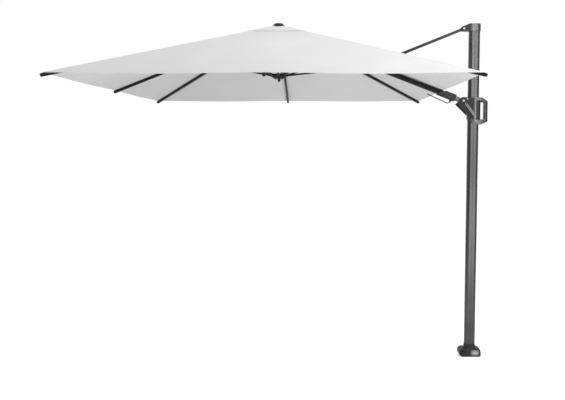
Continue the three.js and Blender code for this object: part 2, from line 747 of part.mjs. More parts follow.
// Tilt lever: a bent rod with an eye, hung on the housing's lug
function makeTiltLever() {
  const x = -leverAlong;
  const z = -leverDrop;
  const elbow = new THREE.Vector3(x - leverElbowAlong, 0, z - leverElbowDrop);
  const tip = new THREE.Vector3(x - leverTipAlong, 0, z - leverTipDrop);
  const rod = new THREE.CurvePath();
  const near = elbow.clone().lerp(new THREE.Vector3(x, 0, z), elbowShare);
  const far = elbow.clone().lerp(tip, leverElbowAlong / leverTipAlong);
  rod.add(new THREE.LineCurve3(new THREE.Vector3(x, 0, z - leverEyeRadius / 2), near));
  rod.add(new THREE.QuadraticBezierCurve3(near, elbow, far));
  rod.add(new THREE.LineCurve3(far, tip));
  const ring = new THREE.Shape();
  ring.absarc(0, 0, leverRodRadius, 0, 2 * Math.PI, false);
  const along = new THREE.CatmullRomCurve3(rodShares.map((share) => rod.getPointAt(share)));
  const bent = solid(new THREE.ExtrudeGeometry(ring, {
    steps: rodSteps, extrudePath: along, bevelEnabled: false, curveSegments: cornerSteps,
  }));
  const lever = cut(
    join(pinY(x, z, leverEyeRadius, -leverEyeWidth / 2, leverEyeWidth / 2, roundSides), bent),
    holeY(x, z, leverPinRadius, -leverEyeWidth, leverEyeWidth),
  );
  arm.add(meshOf("tilt_lever", lever, darkPlastic()));
}
// Points along the rod, close together round its elbow
const rodShares = [0, 0.04, 0.08, 0.12, 0.16, 0.22, 0.45, 0.7, 1];

// Carriage: the sleeve on the mast, its slide liner, two cheeks, the bolts, the handle and the release
function makeCarriage() {
  const halfX = mastHalf + slideClearance + sleeveWall;
  const halfY = mastDepth / 2 + slideClearance + sleeveWall;
  const outline = [
    [-halfX - overrun, sleeveAbove],
    [halfX + overrun, sleeveAbove],
    [halfX + overrun, -sleeveBelow + handleBottomBar / 2],
    [halfX / 2, -sleeveBelow],
    [0, -sleeveBelow],
    [-halfX / 2, -sleeveBelow + handleBottomBar / 2],
    [-halfX - overrun, -sleeveBelow + 1.5 * handleBottomBar],
  ];
  const clip = plate(polygon(outline), -2 * halfY, 2 * halfY);
  const lip = linerThickness + seatGap;
  const sleeve = cut(
    column(mastOutline(slideClearance + sleeveWall), -sleeveBelow, sleeveAbove).intersect(clip),
    column(mastOutline(slideClearance), -sleeveBelow - overrun, sleeveAbove + overrun),
    column(mastOutline(slideClearance + lip), sleeveAbove - linerHeight, sleeveAbove + overrun),
  );
  carriage.add(meshOf("carriage_sleeve", sleeve, lightGrey()));
  const liner = cut(
    column(mastOutline(slideClearance + linerThickness), sleeveAbove - linerHeight + seatGap, sleeveAbove),
    column(mastOutline(slideClearance), sleeveAbove - linerHeight - overrun, sleeveAbove + overrun),
  );
  carriage.add(meshOf("carriage_liner", liner, darkPlastic()));

  const inner = halfY + seatGap;
  const outer = inner + cheekPlate;
  const cheekShape = cheekOutline();
  const boltX = pivotX + crossBoltAlong;
  const holes = [
    holeY(pivotX, 0, boltRadius, -2 * outer, 2 * outer),
    holeY(boltX, crossBoltRise, crossBoltRadius, -2 * outer, 2 * outer),
  ];
  const releaseX = pivotX + releasePivotAlong;
  const frontCheek = join(
    cut(plate(cheekShape, -outer, -inner), ...holes),
    pinY(releaseX, -releasePivotDrop, releasePinRadius, -outer - releaseThickness - 2 * seatGap,
      -outer + seatGap),
  );
  carriage.add(meshOf("front_cheek", frontCheek, anthracite()));
  carriage.add(meshOf("back_cheek", cut(plate(cheekShape, inner, outer), ...holes), anthracite()));
  carriage.add(meshOf("arm_pivot_bolt", boltAcross(pivotX, 0, boltRadius, boltHeadRadius, outer), steel()));
  carriage.add(meshOf("cheek_bolt", boltAcross(boltX, crossBoltRise, crossBoltRadius, crossBoltHead, outer),
    steel()));

  const face = -outer - seatGap;
  const release = cut(
    plate(linkBetween(releaseLength, releaseWidth / 2), face - releaseThickness, face),
    holeY(0, 0, releasePinRadius, -2 * outer, 0),
  );
  const lever = groupAt(carriage, releaseX, 0, -releasePivotDrop, releasePitch);
  lever.add(meshOf("release_lever", release, lightGrey()));
  carriage.add(meshOf("carriage_handle", handleSolid(halfX + seatGap), anthracite()));
}
function cheekOutline() {
  const right = pivotX + cheekFootAlong;
  const shape = new THREE.Shape();
  shape.moveTo(pivotX - cheekCornerAlong, -cheekCornerDrop);
  shape.lineTo(right - sleeveWall, -cheekFootDrop);
  shape.lineTo(right, -cheekFootDrop + sleeveWall);
  shape.lineTo(right, sleeveAbove);
  shape.lineTo(-mastHalf, sleeveAbove);
  shape.absarc(pivotX, 0, cheekLobe, 0.42 * Math.PI, 1.08 * Math.PI, false);
  shape.closePath();
  return shape;
}
// A link with round ends from the origin along +X, tapered a little towards its tip
function linkBetween(length, radius) {
  const tip = 0.8 * radius;
  const shape = new THREE.Shape();
  shape.moveTo(0, -0.7 * radius);
  shape.lineTo(length, -tip);
  shape.absarc(length, 0, tip, -Math.PI / 2, Math.PI / 2, false);
  shape.lineTo(0, 0.7 * radius);
  shape.absarc(0, 0, 0.7 * radius, Math.PI / 2, 1.5 * Math.PI, false);
  shape.closePath();
  return shape;
}
function handleSolid(left) {
  const right = left + handleReach;
  const top = sleeveAbove + handleCorner / 3;
  const bottom = -sleeveBelow;
  const outside = polygon([
    [left, bottom],
    [left + handleBevel / 3, bottom],
    [right - handleCorner, bottom + handleBevelRise],
    [right, bottom + handleBevelRise + handleCorner],
    [right, top - handleBevel - handleCorner / 2],
    [right - handleCorner / 2, top - handleBevel],
    [left + handleBevel / 2, top],
    [left, top],
  ]);
  const x0 = left + handleFoot;
  const x1 = right - handleGrip;
  const z0 = bottom + handleBottomBar;
  const z1 = top - handleTopBar;
  const opening = roundedRectangle(x1 - x0, z1 - z0, handleRound, (x0 + x1) / 2, (z0 + z1) / 2);
  const section = roundedRectangle(2 * handleReach, handleDepth, 2 * handleRound, right - handleReach);
  const rounded = column(section, bottom - overrun, top + overrun);
  const grip = plate(outside, -handleDepth / 2, handleDepth / 2).intersect(rounded);
  return join(cut(grip, plate(opening, -handleDepth, handleDepth)), handleYoke(right, z0, z1, top, bottom));
}
// The handle's yoke: a band round the sleeve, open beside the grip so that fingers pass behind it
function handleYoke(right, windowLow, windowHigh, top, bottom) {
  const inside = slideClearance + sleeveWall + seatGap;
  const start = pivotX + cheekFootAlong + yokeGap;
  const outline = polygon([
    [start, bottom + yokeChinRise],
    [start + yokeChinAlong, bottom],
    [right, bottom],
    [right, top],
    [start, top],
  ]);
  return cut(
    column(mastOutline(inside + yokeWall), bottom, top).intersect(plate(outline, -mastWidth, mastWidth)),
    column(mastOutline(inside), bottom - overrun, top + overrun),
    block(start + yokeBand, right, -mastWidth, mastWidth, windowLow, windowHigh),
  );
}

// Crown: the hub with its rib pins, the finial, the vent cap and the canopy
const ribAzimuths = [45, 90, 135, 180, 225, 270, 315].map((angle) => angle * degree);
function isCorner(azimuth) {
  return Math.abs(Math.sin(2 * azimuth)) > 0.5;
}
function makeCrown() {
  const bossTop = -fabricDrop - sideClearance;
  const lid = pyramid(ventSlope, canopyHalf, bossTop);
  const halfSlot = ribTongue / 2 + pinClearance;
  const pinHalf = ribTongue / 2 + hubPinSeat;
  let hub = join(
    pinZ(0, 0, hubRadius, -hubDepth, 0).intersect(lid),
    pinZ(0, 0, hubBossRadius, -hubDepth, bossTop),
  );
  for (const azimuth of ribAzimuths) {
    const drop = isCorner(azimuth) ? cornerPivotDrop : midPivotDrop;
    hub = hub.subtract(hubSlot(azimuth, halfSlot, -hubDepth - overrun, overrun));
    hub = hub.add(hubPin(azimuth, -drop, pinHalf));
  }
  const lug = new THREE.Shape();
  lug.moveTo(hubCore - hubLugRadius, -hubDepth + sideClearance);
  lug.lineTo(crownReach - hubLugRadius, -headPivotDrop - hubLugRadius / 3);
  lug.absarc(crownReach, -headPivotDrop, hubLugRadius, 1.1 * Math.PI, 2.25 * Math.PI, false);
  lug.lineTo(hubRadius, -hubDepth / 1.5);
  lug.lineTo(hubCore - hubLugRadius, -hubDepth / 1.5);
  lug.closePath();
  const lugPlate = cut(
    plate(lug, -hubLugWidth / 2, hubLugWidth / 2),
    holeY(crownReach, -headPivotDrop, boltRadius, -hubLugWidth, hubLugWidth),
  );
  crown.add(meshOf("crown_hub", hub.add(lugPlate), darkPlastic()));

  const finialBody = lathe([
    [0, -finialDrop], [finialBaseRadius, -finialDrop], [finialBaseRadius, -finialDrop + finialRim],
    [finialTopRadius + finialBevel, finialRise - finialBevel], [finialTopRadius, finialRise], [0, finialRise],
  ]);
  const finial = join(
    cut(
      finialBody,
      pyramid(ventSlope, canopyHalf, seatGap),
      pinZ(0, 0, hubBossRadius + seatGap, -hubDepth, bossTop + seatGap),
    ),
    pinZ(0, 0, hubBossRadius, bossTop + seatGap, finialRise / 2),
  );
  crown.add(meshOf("crown_cap", finial, darkPlastic()));

  const ventHalf = ventSide / 2;
  const vent = cut(
    pyramid(ventSlope, ventHalf),
    pyramid(ventSlope, ventSide, -fabricDrop),
    block(-ventCentreHole / 2, ventCentreHole / 2, -ventCentreHole / 2, ventCentreHole / 2,
      -ventSide, overrun),
  );
  crown.add(meshOf("vent_cap", vent, fabric()));
  const slitCentre = crownReach + (armReach - collarAlong) * Math.cos(armPitch);
  const slitHalf = collarOuter + forkPlate + slitMargin;
  const canopy = cut(
    pyramid(canopySlope, canopyHalf),
    pyramid(canopySlope, canopySide, -fabricDrop),
    block(-ventHoleSide / 2, ventHoleSide / 2, -ventHoleSide / 2, ventHoleSide / 2, -canopySide, overrun),
    block(slitCentre - slitHalfLength, slitCentre + slitHalfLength, -slitHalf, slitHalf,
      -canopySide, overrun),
  );
  crown.add(meshOf("canopy", canopy, fabric()));
}

// Ribs: a square tube with a tongue at the crown, a lug for its stretcher and an end cap at the hem
function makeRib(number, azimuth) {
  const corner = isCorner(azimuth);
  const pitch = corner ? cornerPitch : canopyPitch;
  const drop = corner ? cornerPivotDrop : midPivotDrop;
  const fit = corner ? cornerFit : midFit;
  const hemRadius = corner ? canopyHalf * Math.SQRT2 : canopyHalf;
  const hemAlong = (hemRadius - ribPivotRadius) / Math.cos(pitch);
  const end = hemAlong + tipOverhang - tipLength;
  const radial = new THREE.Group();
  radial.rotation.z = azimuth;
  crown.add(radial);
  const frame = groupAt(radial, ribPivotRadius, 0, -drop, pitch);
  const halfW = ribWidth / 2;
  const halfD = ribDepth / 2;
  const root = plate(tongueOutline(ribRoot + ribWall, ribEyeRadius), -ribTongue / 2, ribTongue / 2);
  const lug = new THREE.Shape();
  lug.moveTo(fit.lugAlong - ribLugLength / 2, -halfD + ribWall / 2);
  lug.absarc(fit.lugAlong, -ribLugDrop, ribLugRadius, Math.PI, 2 * Math.PI, false);
  lug.lineTo(fit.lugAlong + ribLugLength / 2, -halfD + ribWall / 2);
  lug.closePath();
  const bar = cut(
    block(ribRoot, end, -halfW, halfW, -halfD, halfD),
    block(ribRoot + ribPlug, end + overrun, -halfW + ribWall, halfW - ribWall,
      -halfD + ribWall, halfD - ribWall),
  );
  const eye = holeY(0, 0, ribPinRadius, -ribTongue, ribTongue);
  let rib = cut(join(bar, root, plate(lug, -halfW, halfW)), eye);
  if (corner) {
    const reach = halfW + sideClearance + stretcherForkPlate + seatGap;
    const head = reach + pinHeadHeight;
    rib = rib.add(pinY(fit.lugAlong, -ribLugDrop, ribPinRadius, -head, head));
    rib = rib.add(pinY(fit.lugAlong, -ribLugDrop, pinHeadRadius, reach, head));
    rib = rib.add(pinY(fit.lugAlong, -ribLugDrop, pinHeadRadius, -head, -reach));
  }
  frame.add(meshOf(`rib_${number}`, rib, anthracite()));
  const start = end + seatGap;
  const cap = plate(polygon([
    [start, -halfD], [start + tipLength - tipNose, -halfD], [start + tipLength, -halfD + tipNose],
    [start + tipLength, halfD - tipNose], [start + tipLength - tipNose / 2, halfD], [start, halfD],
  ]), -halfW, halfW);
  const inset = ribWall + seatGap;
  const plug = block(start - tipPlugDepth, start + ribWall, -halfW + inset, halfW - inset, -halfD + inset,
    halfD - inset);
  frame.add(meshOf(`rib_tip_${number}`, cap.add(plug), darkPlastic()));
}

// Stretchers: a bar with a tongue at the runner and a fork over the lug of its rib or of the arm
function makeStretcher(number, azimuth, fit, straddle, pinned) {
  const radial = new THREE.Group();
  radial.rotation.z = azimuth;
  runner.add(radial);
  const frame = groupAt(radial, ribPivotRadius, 0, 0, -fit.rise);
  const inside = straddle / 2 + sideClearance;
  const outside = inside + stretcherForkPlate;
  const forkStart = fit.length - stretcherFork;
  const half = stretcherDepth / 2;
  const tongue = plate(tongueOutline(stretcherRoot + stretcherForkPlate, stretcherEyeRadius),
    -stretcherTongue / 2, stretcherTongue / 2);
  const bar = block(stretcherRoot, forkStart, -stretcherWidth / 2, stretcherWidth / 2, -half, half);
  const endOutline = new THREE.Shape();
  endOutline.moveTo(forkStart - stretcherForkBridge, -half);
  endOutline.lineTo(fit.length, -half);
  endOutline.absarc(fit.length, 0, half, -Math.PI / 2, Math.PI / 2, false);
  endOutline.lineTo(forkStart - stretcherForkBridge, half);
  endOutline.closePath();
  const fork = cut(
    plate(endOutline, -outside, outside),
    block(forkStart, fit.length + overrun, -inside, inside, -2 * half, 2 * half),
  );
  let body = cut(join(tongue, bar, fork), holeY(0, 0, ribPinRadius, -stretcherTongue, stretcherTongue));
  if (pinned) {
    body = body.subtract(holeY(fit.length, 0, ribPinRadius, -2 * outside, 2 * outside));
  } else {
    const head = outside + pinHeadHeight;
    body = body.add(pinY(fit.length, 0, pinHeadRadius, outside - seatGap, head));
    body = body.add(pinY(fit.length, 0, pinHeadRadius, -head, -outside + seatGap));
  }
  frame.add(meshOf(`stretcher_${number}`, body, anthracite()));
}

// Runner: the lower hub that the stretchers meet on, with a round pull knob under it
function makeRunner() {
  let hub = lathe([
    [0, -runnerBottom], [runnerFootRadius, -runnerBottom], [hubRadius, -runnerRim], [hubRadius, runnerTop],
    [0, runnerTop],
  ]);
  const halfSlot = stretcherTongue / 2 + pinClearance;
  const pinHalf = stretcherTongue / 2 + hubPinSeat;
  for (const azimuth of [0, ...ribAzimuths]) {
    hub = hub.subtract(hubSlot(azimuth, halfSlot, -runnerBottom - overrun, runnerTop + overrun));
    hub = hub.add(hubPin(azimuth, 0, pinHalf));
  }
  runner.add(meshOf("runner_hub", hub, darkPlastic()));
  const top = -runnerBottom - seatGap;
  const centre = top - runnerKnobDrop;
  const ball = [];
  for (let step = 0; step <= ballSteps; step++) {
    const angle = (0.85 * step / ballSteps - 0.5) * Math.PI;
    ball.push([runnerKnobRadius * Math.cos(angle), centre + runnerKnobRadius * Math.sin(angle)]);
  }
  const knob = lathe([...ball, [runnerKnobNeck, top], [0, top]]);
  runner.add(meshOf("runner_knob", knob, darkPlastic()));
}

makeFoot();
makeMast();
makeStrut();
makeArm();
makeTiltLever();
makeCarriage();
makeCrown();
ribAzimuths.forEach((azimuth, index) => makeRib(index + 1, azimuth));
makeRunner();
ribAzimuths.forEach((azimuth, index) => {
  const corner = isCorner(azimuth);
  makeStretcher(index + 1, azimuth, corner ? cornerFit : midFit, ribWidth, corner);
});
makeStretcher(8, 0, armFit, armWidth, false);

export default parasol;
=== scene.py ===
# %% [markdown]
# # A cantilever parasol, dressed for its picture
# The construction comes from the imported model: every tube, hinge and bolt already stands at its real place
# and size. This script gives each piece its surface, makes the cloth, and sets up a plain studio.
# Everything is in metres, with +Z up, the mast on the Z axis and the canopy on the -X side.

# %% Load the construction
import json
import math
import bpy
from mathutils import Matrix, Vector

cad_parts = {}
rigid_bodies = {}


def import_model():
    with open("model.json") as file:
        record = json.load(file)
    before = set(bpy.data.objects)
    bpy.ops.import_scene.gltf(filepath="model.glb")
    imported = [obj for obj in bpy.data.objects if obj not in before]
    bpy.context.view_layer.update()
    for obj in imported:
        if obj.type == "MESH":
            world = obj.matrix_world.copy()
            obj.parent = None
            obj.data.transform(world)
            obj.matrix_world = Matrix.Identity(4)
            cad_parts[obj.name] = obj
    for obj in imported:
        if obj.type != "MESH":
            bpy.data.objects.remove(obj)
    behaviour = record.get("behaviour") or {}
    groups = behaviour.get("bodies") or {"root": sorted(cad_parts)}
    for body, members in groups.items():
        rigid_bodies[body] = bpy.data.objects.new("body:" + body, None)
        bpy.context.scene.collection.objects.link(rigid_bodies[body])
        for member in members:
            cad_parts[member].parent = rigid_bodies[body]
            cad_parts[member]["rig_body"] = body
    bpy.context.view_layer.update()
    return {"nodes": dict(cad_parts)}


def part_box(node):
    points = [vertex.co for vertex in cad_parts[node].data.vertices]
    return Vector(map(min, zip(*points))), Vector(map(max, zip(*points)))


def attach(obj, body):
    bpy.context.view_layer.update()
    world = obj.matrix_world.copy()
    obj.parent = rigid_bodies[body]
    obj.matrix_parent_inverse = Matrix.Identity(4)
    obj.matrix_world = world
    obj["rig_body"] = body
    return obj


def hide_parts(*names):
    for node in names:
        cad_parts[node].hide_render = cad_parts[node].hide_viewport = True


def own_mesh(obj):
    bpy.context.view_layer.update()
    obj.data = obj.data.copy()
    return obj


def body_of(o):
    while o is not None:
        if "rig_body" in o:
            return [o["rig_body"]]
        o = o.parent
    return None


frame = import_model()
nodes = frame["nodes"]


def placed(name, data):
    """A new object in the scene, made from a mesh, a camera or a lamp."""
    thing = bpy.data.objects.new(name, data)
    bpy.context.scene.collection.objects.link(thing)
    return thing


print("ready to place objects")

# %% [markdown]
# ## Sizes that the cloth follows
# Cloth has to lie on the ribs that carry it, so its sizes are read from the construction rather than typed
# again. The box of the CAD canopy gives its side and the crown's axis. Its points give the hem and the hole
# under the vent, and the slope between them. The vent cap is read in the same way.

# %% Read the leading sizes
canopy_low, canopy_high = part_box("canopy")
vent_low, vent_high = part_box("vent_cap")
crown_x = (canopy_low.x + canopy_high.x) / 2
half_side = (canopy_high.x - canopy_low.x) / 2
vent_half = (vent_high.x - vent_low.x) / 2
NEAR = 0.001
print("crown axis at x", round(crown_x, 4), "half side", round(half_side, 3),
      "vent half", round(vent_half, 3))


def node_points(name):
    return [v.co.copy() for v in nodes[name].data.vertices]


def pyramid(name, half, top):
    """Half the hole, the slope, and where the slopes would meet, of a square roof of the construction."""
    points = node_points(name)
    hole = min(max(abs(p.x - crown_x), abs(p.y)) for p in points)
    hem_top = max(p.z for p in points if abs(p.y) > half - NEAR)
    pitch = (top - hem_top) / (half - hole)
    return hole, pitch, top + pitch * hole


hole_half, slope, apex_z = pyramid("canopy", half_side, canopy_high.z)
vent_inner, vent_slope, vent_apex_z = pyramid("vent_cap", vent_half, vent_high.z)
print("slope", round(slope, 4), "apex", round(apex_z, 4), "hole half", round(hole_half, 3))

# %% [markdown]
# ## Camera
# The photo is taken from low down in front of the parasol, a little under the height of its arm, so the
# canopy shows both its top and its underside. The lens is a normal one. The small shifts are the crop's.

# %% Set the camera
camera_data = bpy.data.cameras.new("camera")
camera = placed("camera", camera_data)
camera.location = (-1.377, -5.781, 2.009)
camera.rotation_euler = (math.radians(85.96), 0, 0)
camera_data.sensor_width = 36.0
camera_data.lens = 39.98
camera_data.shift_x = -0.0711
camera_data.shift_y = -0.0255
camera_data.clip_end = 200
bpy.context.scene.camera = camera
bpy.context.scene.view_settings.view_transform = "Standard"
print("camera at", tuple(round(c, 3) for c in camera.location))

# %% [markdown]
# ## Writing shaders as sums
# A material is a small program, and its maths reads best as maths. The class below wraps one output of a
# node, so that `noise * 0.2 + 0.4` adds the two Math nodes that it stands for. Any other node comes from one
# method, which takes the node's type, its settings and what goes into its sockets.

# %% The shader wrapper
class Wire:
    def __init__(self, tree, socket):
        self.tree = tree
        self.socket = socket

    def math(self, operation, other=None, swapped=False):
        values = [other, self] if swapped else [self, other]
        inputs = {i: v for i, v in enumerate(values) if v is not None}
        return self.tree.node("ShaderNodeMath", {"operation": operation}, inputs)

    def __add__(self, other):
        return self.math("ADD", other)

    def __radd__(self, other):
        return self.math("ADD", other, swapped=True)

    def __sub__(self, other):
        return self.math("SUBTRACT", other)

    def __rsub__(self, other):
        return self.math("SUBTRACT", other, swapped=True)

    def __mul__(self, other):
        return self.math("MULTIPLY", other)

    def __lt__(self, other):
        return self.math("LESS_THAN", other)

    def __gt__(self, other):
        return self.math("GREATER_THAN", other)

    def __abs__(self):
        return self.math("ABSOLUTE")

    def sine(self):
        return self.math("SINE")

    def fraction(self):
        return self.math("FRACT")

    def step(self, low, high):
        """0 below low, 1 above high, and a soft rise between them."""
        inputs = {"Value": self, "From Min": low, "From Max": high}
        return self.tree.node("ShaderNodeMapRange", {"interpolation_type": "SMOOTHSTEP"}, inputs)


class Shader:
    """A material and its node tree, with one principled surface."""

    def __init__(self, name):
        self.material = bpy.data.materials.new(name)
        self.material.use_nodes = True
        self.nodes = self.material.node_tree.nodes
        self.links = self.material.node_tree.links
        self.surface = self.nodes["Principled BSDF"]

    def node(self, kind, settings=None, inputs=None, output=0):
        made = self.nodes.new(kind)
        for key, value in (settings or {}).items():
            setattr(made, key, value)
        for key, value in (inputs or {}).items():
            self.feed(made.inputs[key], value)
        return Wire(self, made.outputs[output])

    def feed(self, socket, value):
        if isinstance(value, Wire):
            self.links.new(value.socket, socket)
        elif socket.type == "RGBA" and len(value) == 3:
            socket.default_value = (*value, 1)
        else:
            socket.default_value = value

    def mix_colour(self, factor, first, second):
        """Sockets 6 and 7 are the two colours, and output 2 is their mix."""
        inputs = {"Factor": factor, 6: first, 7: second}
        return self.node("ShaderNodeMix", {"data_type": "RGBA"}, inputs, output=2)

    def scaled(self, vector, scale):
        return self.node("ShaderNodeVectorMath", {"operation": "MULTIPLY"}, {0: vector, 1: scale})

    def place(self):
        """The point in the object's own coordinates."""
        return self.node("ShaderNodeTexCoord", output="Object")

    def parts(self, vector):
        split = self.nodes.new("ShaderNodeSeparateXYZ")
        self.feed(split.inputs[0], vector)
        return [Wire(self, out) for out in split.outputs]

    def zone(self, place, low, high, soft):
        """1 inside the box from low to high, 0 outside, with a soft border."""
        inside = 1.0
        for part, start, end in zip(self.parts(place), low, high):
            past_start, past_end = part.step(start - soft, start + soft), part.step(end - soft, end + soft)
            inside = past_start * (1 - past_end) * inside
        return inside

    def noise(self, vector, scale, detail=2.0):
        return self.node("ShaderNodeTexNoise", None, {"Vector": vector, "Scale": scale, "Detail": detail})

    def bump(self, height, strength, distance):
        inputs = {"Height": height, "Strength": strength, "Distance": distance}
        return self.node("ShaderNodeBump", None, inputs)

    def set(self, **values):
        for name, value in values.items():
            self.feed(self.surface.inputs[name.replace("_", " ")], value)
        return self


print("shader wrapper ready")

# %% [markdown]
# ## Powder coat
# The frame is aluminium with a baked anthracite powder coat. It is a dielectric paint: dark, satin, with a
# fine orange-peel skin and a trace of metal flake. A flat dark grey would look like card, so the colour is
# broken up at three scales: flake, a slow mottle, and a paler, smoother rub where edges are handled. A zone
# is a box in the parasol's own frame where the coat is painted towards its pale tone. Some zones are
# painted highlights and a painted reflection; the others only make the coat paler there.

# %% Make the coats
MOTTLE_PER_METRE = 5.0
FLAKE_PER_METRE = 900.0
PEEL_PER_METRE = 420.0
PEEL_HEIGHT = 0.0006
WORN_EDGES = (0.51, 0.57)


def powder_coat(name, colour, pale, roughness, gloss=0.2, peel=0.15, flake=0.12, rub=0.3, zones=()):
    shader = Shader(name)
    place = shader.place()
    mottle = shader.noise(place, MOTTLE_PER_METRE, 3.0)
    grain = shader.noise(place, FLAKE_PER_METRE)
    skin = shader.noise(place, PEEL_PER_METRE, 1.0)
    edges = shader.node("ShaderNodeNewGeometry", output="Pointiness").step(*WORN_EDGES) * rub
    base = shader.mix_colour(mottle.step(0.3, 0.7), colour, [c * 1.12 for c in colour])
    base = shader.mix_colour(grain.step(0.6, 0.72) * flake, base, pale)
    base = shader.mix_colour(edges * mottle.step(0.4, 0.6), base, pale)
    for low, high, soft, share in zones:
        base = shader.mix_colour(shader.zone(place, low, high, soft) * share, base, pale)
    rough = roughness - 0.02 + mottle * 0.04 - edges * 0.06
    normal = shader.bump(skin, peel, PEEL_HEIGHT)
    shader.set(Base_Color=base, Roughness=rough, Normal=normal, Specular_IOR_Level=gloss)
    return shader.material


anthracite = (0.009, 0.0092, 0.0098)
flake_grey = (0.06, 0.06, 0.064)
frame_coat = powder_coat("anthracite_coat", anthracite, flake_grey, 0.4, gloss=0.16)
hub_coat = powder_coat("cast_coat", (0.01, 0.0102, 0.0108), flake_grey, 0.48, gloss=0.16, peel=0.35)
lever_coat = powder_coat("grey_coat", (0.11, 0.111, 0.114), (0.24, 0.24, 0.25), 0.42, gloss=0.3)
print("coats:", [m.name for m in (frame_coat, hub_coat, lever_coat)])

# %% [markdown]
# ## Mast coat, steel and plastic
# The mast and its sliding carriage wear the same paint as the arm, a shade lighter and smoother, so their
# flat faces catch the lamp. Some coats are painted paler in zones: painted highlights on the grip's frame
# and on the foot's front, a painted reflection on the front of the mast's head, and a paler tone on the
# mast's lower end and on the upper half of the strut. The bolts are plain steel, brushed by turning.
# Caps and knobs are moulded plastic with a fine spark texture, which scatters light and keeps them the
# darkest parts.

# %% Make the other hard finishes
# Each zone is its box's lowest and highest corner, the half width of its border, and its share of pale.
# The mast's lower end is painted paler.
mast_lower_paler = [((-1, -1, -1), (1, 1, 0.7), 0.35, 0.4)]
# Painted highlights on the grip's frame: its band by the sleeve, its top and bottom rings, its inner face.
grip_painted_highlights = [((0.001, -0.1, 2.17), (0.015, 0.1, 2.4), 0.002, 1.0),
        ((-0.03, -0.1, 2.38), (0.066, 0.1, 2.42), 0.003, 1.0),
        ((-0.03, -0.1, 2.16), (0.068, 0.1, 2.204), 0.003, 1.0),
        ((0.084, -0.1, 2.2), (0.097, 0.1, 2.36), 0.002, 0.6)]
# A painted highlight on the foot's curved front.
foot_painted_highlight = [((0.014, -0.2, 0.02), (0.076, 0.2, 0.058), 0.018, 0.9)]
# A painted reflection of the lamp, widened across the front of the mast's head.
head_painted_reflection = [((-0.036, -0.2, 2.9), (-0.012, 0.0, 3.2), 0.012, 0.9)]
# The upper half of the strut is painted paler.
strut_upper_paler = [((-0.4, -0.2, 2.4), (0.2, 0.2, 3.2), 0.2, 1.0)]
mast_grey = (0.012, 0.0122, 0.0128)
sleeve_grey = (0.024, 0.0243, 0.0252)
mast_coat = powder_coat("mast_coat", mast_grey, (0.08, 0.08, 0.084), 0.27,
                        gloss=0.3, peel=0.08, zones=mast_lower_paler)
sleeve_coat = powder_coat("sleeve_coat", sleeve_grey, (0.1, 0.1, 0.104), 0.34, gloss=0.32, peel=0.12)
strut_coat = powder_coat("strut_coat", anthracite, sleeve_grey, 0.4, gloss=0.2, zones=strut_upper_paler)
head_coat = powder_coat("head_coat", (0.02, 0.0203, 0.0212), (0.14, 0.14, 0.144), 0.28,
                        gloss=0.46, peel=0.08, zones=head_painted_reflection)
grip_coat = powder_coat("grip_coat", (0.013, 0.0132, 0.0138), (0.17, 0.17, 0.174), 0.36,
                        gloss=0.24, peel=0.1, flake=0.05, rub=0.1, zones=grip_painted_highlights)
foot_coat = powder_coat("foot_coat", mast_grey, (0.36, 0.36, 0.365), 0.42,
                        gloss=0.2, peel=0.2, flake=0.04, rub=0.1, zones=foot_painted_highlight)

RINGS_PER_METRE = (60.0, 900.0, 60.0)
RING_HEIGHT = 0.0004
STAINS_PER_METRE = 70.0
SPARKS_PER_METRE = 1500.0
SPARK_HEIGHT = 0.0003
FLOW_PER_METRE = 25.0


def bolt_steel():
    shader = Shader("bolt_steel")
    place = shader.place()
    rings = shader.noise(shader.scaled(place, RINGS_PER_METRE), 1.0)
    stain = shader.noise(place, STAINS_PER_METRE, 3.0)
    base = shader.mix_colour(stain.step(0.35, 0.7), (0.3, 0.3, 0.306), (0.22, 0.22, 0.225))
    rough = 0.4 + rings * 0.14 + stain * 0.06
    normal = shader.bump(rings, 0.12, RING_HEIGHT)
    shader.set(Base_Color=base, Roughness=rough, Metallic=1.0, Normal=normal)
    return shader.material


def moulded_plastic():
    shader = Shader("dark_plastic")
    place = shader.place()
    spark = shader.noise(place, SPARKS_PER_METRE, 1.0)
    flow = shader.noise(place, FLOW_PER_METRE, 3.0)
    base = shader.mix_colour(flow.step(0.3, 0.7), (0.008, 0.008, 0.0085), (0.012, 0.012, 0.0125))
    normal = shader.bump(spark, 0.3, SPARK_HEIGHT)
    shader.set(Base_Color=base, Roughness=0.5 + spark * 0.12, Specular_IOR_Level=0.22, Normal=normal)
    return shader.material


steel = bolt_steel()
plastic = moulded_plastic()
part_coats = (mast_coat, sleeve_coat, strut_coat, head_coat, grip_coat, foot_coat)
print("hard finishes:", [m.name for m in (*part_coats, steel, plastic)])

# %% [markdown]
# ## Rounded edges on the construction
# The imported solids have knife-sharp edges and flat facets, which no pressed, cast or extruded part has.
# A modifier stack mends that without touching the meshes: weld the corners together, round each sharp
# edge by about a millimetre, and shade across what is left. A small node group does the shading,
# because it can drop the imported normals and keep only edges over a chosen angle sharp.

# %% Make the soft shading group
SMOOTH_UNDER = 38
BEVEL_OVER = 32
BEVEL_STEPS = 2
WELD_GAP = 0.00002


